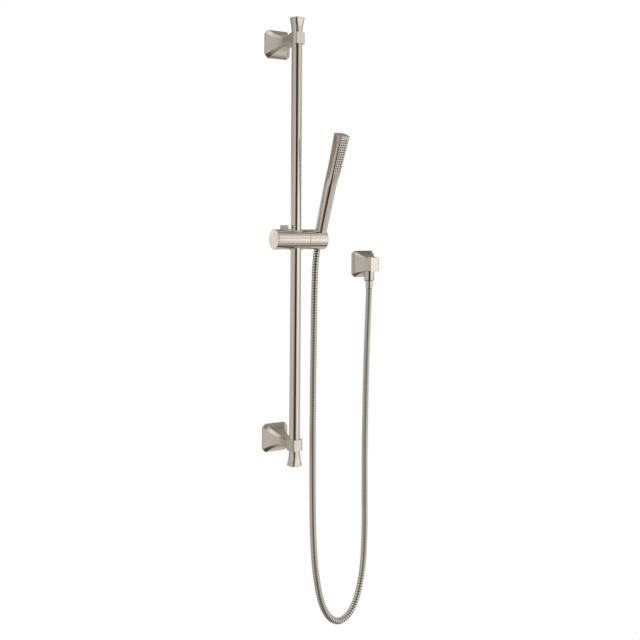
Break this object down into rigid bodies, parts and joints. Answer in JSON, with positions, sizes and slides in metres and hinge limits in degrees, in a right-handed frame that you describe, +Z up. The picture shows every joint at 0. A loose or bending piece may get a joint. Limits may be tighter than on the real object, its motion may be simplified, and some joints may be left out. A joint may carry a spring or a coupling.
{
  "type": "handheld shower head",
  "caption": "Brushed nickel slide-bar hand shower: square-flanged brackets, round bar, sliding cradle, slim square-headed handset, ribbed hose and wall outlet elbow.",
  "frame": {"origin": "centre of the lower wall plate's back face, on the wall plane", "axes": "+Y into the wall, +Z up along the bar, +X along the wall toward the outlet elbow"},
  "size_m": [0.3027, 0.1821, 1.278],
  "materials": {
    "brushed_nickel": "satin",
    "hose_jacket": "satin",
    "steel": "satin",
    "brass": "satin",
    "grey_plastic": "satin",
    "white_plastic": "matte",
    "black_rubber": "matte"
  },
  "bodies": {
    "wall_set": {"upper_bracket": "brushed_nickel", "lower_bracket": "brushed_nickel", "upper_wall_plate": "steel", "lower_wall_plate": "steel", "bracket_set_screws": "steel", "slide_bar": "brushed_nickel", "upper_bar_plug": "brass", "lower_bar_plug": "brass", "upper_finial": "brushed_nickel", "lower_finial": "brushed_nickel", "elbow_body": "brushed_nickel", "elbow_gasket": "black_rubber", "outlet_nipple": "brass", "check_valve_body": "white_plastic", "check_valve_spring": "steel", "hose_nut": "brushed_nickel", "lower_hose_washer": "black_rubber", "lower_hose_insert": "brass", "lower_ferrule": "brushed_nickel", "shower_hose": "hose_jacket"},
    "poppet": {"check_valve_poppet": "grey_plastic"},
    "carriage": {"friction_sleeve": "white_plastic"},
    "slider": {"slider_body": "brushed_nickel", "upper_trim_ring": "grey_plastic", "lower_trim_ring": "grey_plastic", "slider_end_cap": "brushed_nickel", "friction_washer": "black_rubber", "pivot_bolt": "steel", "spring_washer": "steel", "shoe_spring": "steel"},
    "shoe": {"brake_shoe": "white_plastic"},
    "button": {"release_button": "grey_plastic"},
    "cradle_body": {"cradle": "brushed_nickel"},
    "hose_end": {"upper_ferrule": "brushed_nickel", "upper_hose_insert": "brass", "upper_hose_washer": "black_rubber"},
    "handset": {"cone_nut": "brushed_nickel", "handset_shell": "brushed_nickel", "handset_tail": "brass", "flow_regulator": "white_plastic", "waterway_tube": "white_plastic", "spray_chamber": "white_plastic", "nozzle_mat": "black_rubber", "spray_plate": "brushed_nickel"}
  },
  "joints": [
    {"name": "slider_height", "type": "slide", "parent": "wall_set", "child": "carriage", "axis": [0, 0, 1], "range_m": [-0.383, 0.366], "deforming": ["shower_hose"]},
    {"name": "slider_swivel", "type": "hinge", "parent": "carriage", "child": "slider", "pos_m": [0, -0.0854, 0.4183], "axis": [0, 0, 1], "range_deg": [-45, 45], "deforming": ["shower_hose"]},
    {"name": "button_press", "type": "slide", "parent": "slider", "child": "button", "axis": [0, 0, -1], "range_m": [0, 0.004], "stiffness_N_per_m": 1200, "springref_m": -0.002},
    {"name": "brake_release", "type": "slide", "parent": "slider", "child": "shoe", "axis": [-1, 0, 0], "range_m": [0, 0.00125], "deforming": ["shoe_spring"]},
    {"name": "cradle_tilt", "type": "hinge", "parent": "slider", "child": "cradle_body", "pos_m": [0, -0.0854, 0.4183], "axis": [1, 0, 0], "range_deg": [-20, 35], "deforming": ["shower_hose"]},
    {"name": "handset_lift", "type": "slide", "parent": "cradle_body", "child": "hose_end", "axis": [0, -0.3502, 0.9367], "range_m": [0, 0.04], "deforming": ["shower_hose"]},
    {"name": "handset_turn", "type": "hinge", "parent": "hose_end", "child": "handset", "pos_m": [0.056, -0.0854, 0.4183], "axis": [0, -0.3502, 0.9367], "range_deg": [-90, 90]},
    {"name": "valve_opening", "type": "slide", "parent": "wall_set", "child": "poppet", "axis": [0, 0, -1], "range_m": [0, 0.002], "stiffness_N_per_m": 200, "springref_m": -0.001, "deforming": ["check_valve_spring"]}
  ],
  "couplings": [
    {"joint": "brake_release", "follows": "button_press", "ratio": 0.3}
  ]
}
